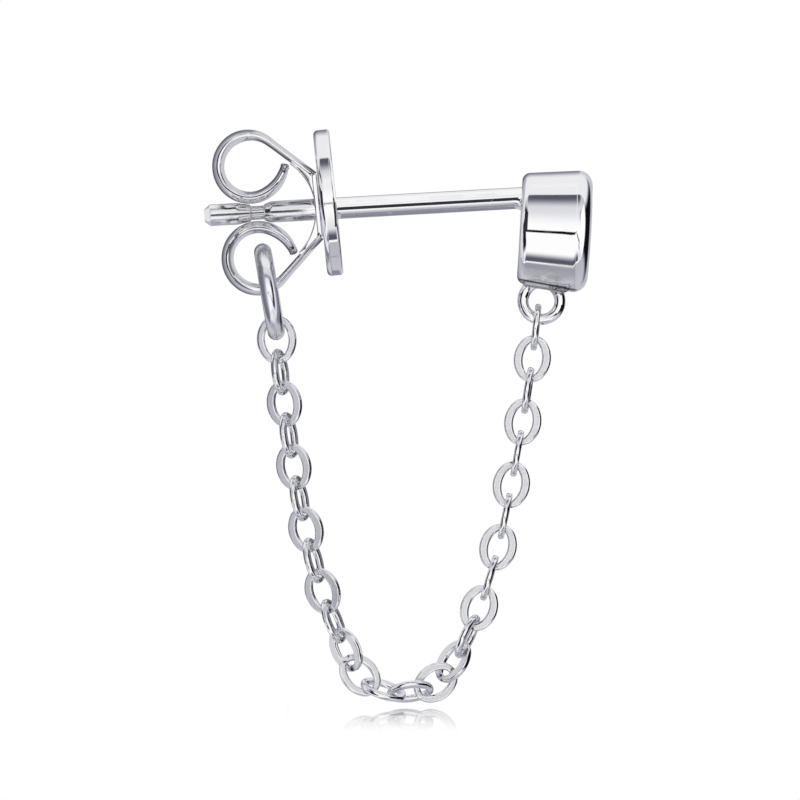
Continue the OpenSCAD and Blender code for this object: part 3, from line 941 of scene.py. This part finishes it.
# The camera's slit: a thin dark line, with its bend and thickness over x
SLIT_DROP = 1.7
SLIT_BEND = (0.0, -0.19)
SLIT_BEND_BY = 2.9
SLIT_SLOPE = 50.0
SLIT_THICK = 0.9
SLIT_LEFT = (-0.05, -0.19)
SLIT_LEFT_BY = 1.7
SLIT_RIGHT = (0.0, 0.12, 0.3, 0.5)
SLIT_RIGHT_BY = 2.0
SLIT_EDGE = (1.15, 0.75)
SLIT_X = (-0.36, -0.24, 0.4, 0.6)
SLIT_GREY = 0.03

# The backdrop's grey rim, the darker left of it, and its white middle
RIM_BEHIND = (54.0, 22.0)
RIM_Z = (-0.75, -0.05)
RIM_LEFT = (0.15, 0.0)
RIM_LEFT_GREY = 0.58
RIM_RIGHT = (0.0, 0.15)
RIM_RIGHT_GREY = 0.82
DARK_BEHIND = (32.0, 10.0)
DARK_X = (-0.02, -0.12)
DARK_GREY = 0.34
MIDDLE_BEHIND = (5.0, 3.0)


class Tent(Sums):
    """The light tent's brightness, panel by panel."""

    def __init__(self, tree):
        super().__init__(tree)
        self.x, self.y, self.z = self.split("Generated")
        self.forward = self.product(self.y, -1.0)
        self.over = self.product(self.do("ARCTAN2", self.z, self.forward), DEGREES)
        self.under = self.product(self.over, -1.0)
        self.behind = self.product(self.do("ARCCOSINE", self.y), DEGREES)
        slant = self.do("MULTIPLY_ADD", self.do("MINIMUM", self.x, SLANT_TO_X), SLANT, self.under)
        self.slant = self.do("ADD", slant, SLANT_LIFT)
        self.light = TENT_WHITE

    def cover(self, tone, *masks):
        """The light becomes the tone where all the masks are 1."""
        self.light = self.mix(self.light, tone, self.product(*masks))

    def panel_and_roof(self):
        """The front panel and the roof behind it."""
        self.cover(display(PANEL_TOP_GREY), self.step(self.over, *PANEL_FALL))
        self.cover(display(ROOF_GREY), self.step(self.over, *ROOF))

    def table(self):
        """The table under the front panel: grey, lighter towards the back and to the right."""
        right = self.product(self.step(self.x, *TABLE_RIGHT), TABLE_RIGHT_SHARE)
        grey = self.mix(display(TABLE_GREY), display(TABLE_BACK_GREY), self.step(self.under, *TABLE_BACK))
        grey = self.mix(grey, display(TABLE_RIGHT_GREY), right)
        self.cover(grey, self.step(self.slant, *TABLE))
        self.cover(TENT_WHITE, self.window(self.slant, *TABLE_LINE))

    def front_gaps(self):
        """The dark gaps over and under the front panel."""
        aside = self.step(self.do("ABSOLUTE", self.x), *GAP_ENDS)
        ends = self.do("MULTIPLY_ADD", aside, -GAP_ENDS_LIGHTER, 1.0)
        top, low = (self.over, TOP_GAP, TOP_GAP_CLOSED), (self.slant, LOW_GAP, LOW_GAP_CLOSED)
        for angle, gap, closed in (top, low):
            opened = self.do("SUBTRACT", 1.0, self.window(self.x, *closed))
            self.cover(display(GAP_GREY), self.window(angle, *gap), opened, ends)

    def post_bands(self):
        """What the post mirrors: whiter above, and greyer the further it is below."""
        self.cover(1.0, self.window(self.x, *POST_OVER_X), self.window(self.over, *POST_OVER))
        below = self.step(self.under, *POST_UNDER)
        self.cover(display(POST_UNDER_GREY), self.window(self.x, *POST_UNDER_X), below, POST_UNDER_SHARE)

    def side_gaps(self):
        """The gaps beside the front panel."""
        for grey, side, ahead, height in SIDE_GAPS:
            tall = self.window(self.z, *height)
            self.cover(display(grey), self.window(self.forward, *ahead), self.step(self.x, *side), tall)

    def slit(self):
        """The camera's slit."""
        line = self.do("MULTIPLY_ADD", self.step(self.x, *SLIT_BEND), SLIT_BEND_BY, self.over)
        line = self.do("ADD", line, SLIT_DROP)
        line = self.do("MULTIPLY_ADD", self.do("MAXIMUM", self.x, 0.0), SLIT_SLOPE, line)
        left, right = self.step(self.x, *SLIT_LEFT), self.window(self.x, *SLIT_RIGHT)
        thick = self.do("MULTIPLY_ADD", left, SLIT_LEFT_BY, SLIT_THICK)
        thick = self.do("MULTIPLY_ADD", right, SLIT_RIGHT_BY, thick)
        away = self.do("DIVIDE", self.do("ABSOLUTE", line), thick)
        self.cover(display(SLIT_GREY), self.step(away, *SLIT_EDGE), self.window(self.x, *SLIT_X))

    def backdrop(self):
        """Round the white backdrop the tent is grey, most of all to the left."""
        rim = self.product(self.step(self.behind, *RIM_BEHIND), self.step(self.z, *RIM_Z))
        self.cover(display(RIM_LEFT_GREY), rim, self.step(self.x, *RIM_LEFT))
        self.cover(display(RIM_RIGHT_GREY), rim, self.step(self.x, *RIM_RIGHT))
        self.cover(display(DARK_GREY), self.step(self.behind, *DARK_BEHIND), self.step(self.x, *DARK_X))
        self.cover(1.0, self.step(self.behind, *MIDDLE_BEHIND))


def light_tent():
    """World: white paper to the camera, and to the metal the tent, whose dark tones are a little bluer than
    its white ones."""
    world = bpy.data.worlds.new("light_tent")
    scene.world = world
    world.use_nodes = True
    tree = world.node_tree
    tree.nodes.clear()
    tent = Tent(tree)
    tent.panel_and_roof()
    tent.table()
    tent.front_gaps()
    tent.post_bands()
    tent.side_gaps()
    tent.slit()
    tent.backdrop()
    tone = tree.nodes.new("ShaderNodeMix")
    tone.data_type = "RGBA"
    tree.links.new(tent.light, tone.inputs["Factor"])
    tone.inputs["A"].default_value = (*DARK_TINT, 1)
    tone.inputs["B"].default_value = (1, 1, 1, 1)
    walls = tree.nodes.new("ShaderNodeBackground")
    tree.links.new(tone.outputs["Result"], walls.inputs["Color"])
    tree.links.new(tent.light, walls.inputs["Strength"])
    paper = tree.nodes.new("ShaderNodeBackground")
    paper.inputs["Color"].default_value = (1, 1, 1, 1)
    seen = tree.nodes.new("ShaderNodeLightPath")
    mix = tree.nodes.new("ShaderNodeMixShader")
    tree.links.new(seen.outputs["Is Camera Ray"], mix.inputs[0])
    tree.links.new(walls.outputs[0], mix.inputs[1])
    tree.links.new(paper.outputs[0], mix.inputs[2])
    out = tree.nodes.new("ShaderNodeOutputWorld")
    tree.links.new(mix.outputs[0], out.inputs["Surface"])


# Cards near the earring, with places in millimetres. Two dark ones stand before the post along its slope,
# each from one X to another and a little below the post's line. The camera's lens has its corners as [x, z].
# The others are [x, y, y, z, z, tone] where upright and [z, x, x, y, y, tone] where level, and two of them
# also give where their fade starts and ends.
CARD_AWAY = 3.2
CARD_H = 1.8
POST_CARDS = (("card_back", -8.2, -4.5, 0.4), ("card_front", -3.25, 3.22, 0.45))
POST_CARD_GREY = 0.22
LENS_AWAY = 8.0
LENS_CORNERS = [(2.5, -1.32), (3.95, -2.0), (4.1, -1.6), (3.7, -1.2)]
LENS_TONE = 0.006
SIDE_CARDS = {
    "card_head_right": (8.0, -6.5, -2.75, -4.2, 2.2, TENT_WHITE),
    "card_head_back": (8.0, 2.2, 6.0, -4.2, 2.2, display(0.8)),
    "card_head_left": (2.3, -2.1, -1.3, -2.6, 1.2, display(0.9)),
    "card_disc_right": (-1.8, -4.0, -0.9, 0.15, 2.6, 1.0),
    "card_ring_right": (-4.4, -2.35, -1.0, -5.5, -0.3, display(0.55), (-2.05, -1.6)),
    "card_ring_left": (-6.9, -4.6, -0.9, -6.5, -0.5, display(0.48), (-4.4, -1.8)),
    "card_strand_left": (-8.5, -6.5, -2.2, -18.0, -5.6, display(0.83)),
    "card_link_17": (-5.0, -1.3, 0.8, -18.2, -15.4, display(0.93)),
    "card_link_12": (-0.7, -1.0, 0.8, -16.3, -14.3, display(0.93)),
    "card_tip": (-8.6, -1.2, 0.6, -1.3, 0.4, display(0.93)),
}
FLAT_CARDS = {
    "card_ring_top": (1.2, -7.2, -4.3, -5.2, -2.4, display(0.9)),
    "card_ring_up": (-1.25, -6.85, -4.4, -3.15, -2.2, display(0.9)),
    "card_post_low": (-0.9, -8.2, -4.35, -2.25, -1.1, display(0.95)),
    "card_ring_low": (-7.5, -7.2, -4.3, -4.8, -2.0, display(0.95)),
}


def staged(name, corners, material):
    """Flat piece of the studio with its corners at [x, y, z] places. It lights no matt surface and casts no
    shadow."""
    mesh = bpy.data.meshes.new(name)
    mesh.from_pydata([(x * MM, y * MM, z * MM) for x, y, z in corners], [], [(0, 1, 2, 3)])
    mesh.materials.append(material)
    obj = add_object(name, mesh)
    obj.visible_diffuse = False
    obj.visible_shadow = False
    return obj


def empty_material(name):
    """New material with no nodes, and its tree."""
    material = bpy.data.materials.new(name)
    material.use_nodes = True
    material.node_tree.nodes.clear()
    return material, material.node_tree


def show(tree, shader):
    """The shader becomes the material's surface."""
    out = tree.nodes.new("ShaderNodeOutputMaterial")
    tree.links.new(shader.outputs[0], out.inputs["Surface"])


def make_card(name, corners, tone, fade=None):
    """Card that only the metal sees. It shows one tone, or fades along Y from white to it between two
    places. A grey card is a little blue."""
    material, tree = empty_material(name)
    light = tree.nodes.new("ShaderNodeEmission")
    light.inputs["Strength"].default_value = tone
    light.inputs["Color"].default_value = (*(c + (1 - c) * min(tone, 1) for c in DARK_TINT), 1)
    if fade:
        sums = Sums(tree)
        _, y, _ = sums.places()
        tree.links.new(sums.mix(1.0, tone, sums.step(y, *fade)), light.inputs["Strength"])
    show(tree, light)
    card = staged(name, corners, material)
    card.visible_camera = False


def make_cards():
    """The dark cards, which draw the line on the post; the camera's lens, which the head mirrors; and those
    that keep the pieces' sides light or grey."""
    slope = math.tan(math.radians(POST_TILT))
    for name, x0, x1, low in POST_CARDS:
        z0, z1, half = x0 * slope - low, x1 * slope - low, CARD_H / 2
        corners = [(x0, z0 - half), (x1, z1 - half), (x1, z1 + half), (x0, z0 + half)]
        make_card(name, [(x, -CARD_AWAY, z) for x, z in corners], display(POST_CARD_GREY))
    make_card("card_lens", [(x, -LENS_AWAY, z) for x, z in LENS_CORNERS], LENS_TONE)
    for name, (x, y0, y1, z0, z1, *tone) in SIDE_CARDS.items():
        make_card(name, [(x, y0, z0), (x, y1, z0), (x, y1, z1), (x, y0, z1)], *tone)
    for name, (z, x0, x1, y0, y1, tone) in FLAT_CARDS.items():
        make_card(name, [(x0, y0, z), (x1, y0, z), (x1, y1, z), (x0, y1, z)], tone)


# Floor, where the lowest link nearly touches it, and where along Y and X its mirror share is open
FLOOR_Z = -17.957
FLOOR_HALF = 2000.0
MIRROR_Y = (-42.0, 2.0, 20.0, 60.0)
MIRROR_X = (-8.2, -6.5, 6.5, 8.2)
MIRROR_POWER = 6.0
MIRROR_SHARE = 0.95
MIRROR_ROUGHNESS = 0.025


def make_floor():
    """Pale floor under the chain: white, with a faint mirror share that fades in front of the earring."""
    material, tree = empty_material("floor")
    sums = Sums(tree)
    x, y, _ = sums.places()
    grazing = tree.nodes.new("ShaderNodeLayerWeight")
    power = sums.do("POWER", grazing.outputs["Facing"], MIRROR_POWER)
    share = sums.product(sums.window(y, *MIRROR_Y), sums.window(x, *MIRROR_X), power, MIRROR_SHARE)
    paper = tree.nodes.new("ShaderNodeEmission")
    gloss = tree.nodes.new("ShaderNodeBsdfGlossy")
    gloss.inputs["Roughness"].default_value = MIRROR_ROUGHNESS
    gloss.inputs["Color"].default_value = (1, 1, 1, 1)
    mix = tree.nodes.new("ShaderNodeMixShader")
    tree.links.new(share, mix.inputs[0])
    tree.links.new(paper.outputs[0], mix.inputs[1])
    tree.links.new(gloss.outputs[0], mix.inputs[2])
    show(tree, mix)
    reach, z = FLOOR_HALF, FLOOR_Z
    corners = [(-reach, -reach, z), (reach, -reach, z), (reach, reach, z), (-reach, reach, z)]
    floor = staged("floor", corners, material)
    floor.visible_glossy = False


# Camera: the photograph's middle and width in the plane of the chain; and how often light may bounce
VIEW_MIDDLE = (-1.0, -7.03)
VIEW_WIDTH = 28.571
VIEW_AWAY = 500.0
SENSOR = 36.0
BOUNCES = 12


def make_camera():
    """Level camera in front of the chain's plane, with the photograph's width in it."""
    data = bpy.data.cameras.new("camera")
    data.sensor_width = SENSOR
    data.lens = SENSOR * VIEW_AWAY / VIEW_WIDTH
    data.clip_start = 0.01
    data.clip_end = 10.0
    camera = add_object("camera", data)
    camera.location = (VIEW_MIDDLE[0] * MM, -VIEW_AWAY * MM, VIEW_MIDDLE[1] * MM)
    camera.rotation_euler = (math.pi / 2, 0, 0)
    scene.camera = camera


light_tent()
make_floor()
make_cards()
make_camera()
scene.view_settings.view_transform = "Standard"
scene.cycles.max_bounces = BOUNCES
scene.cycles.glossy_bounces = BOUNCES
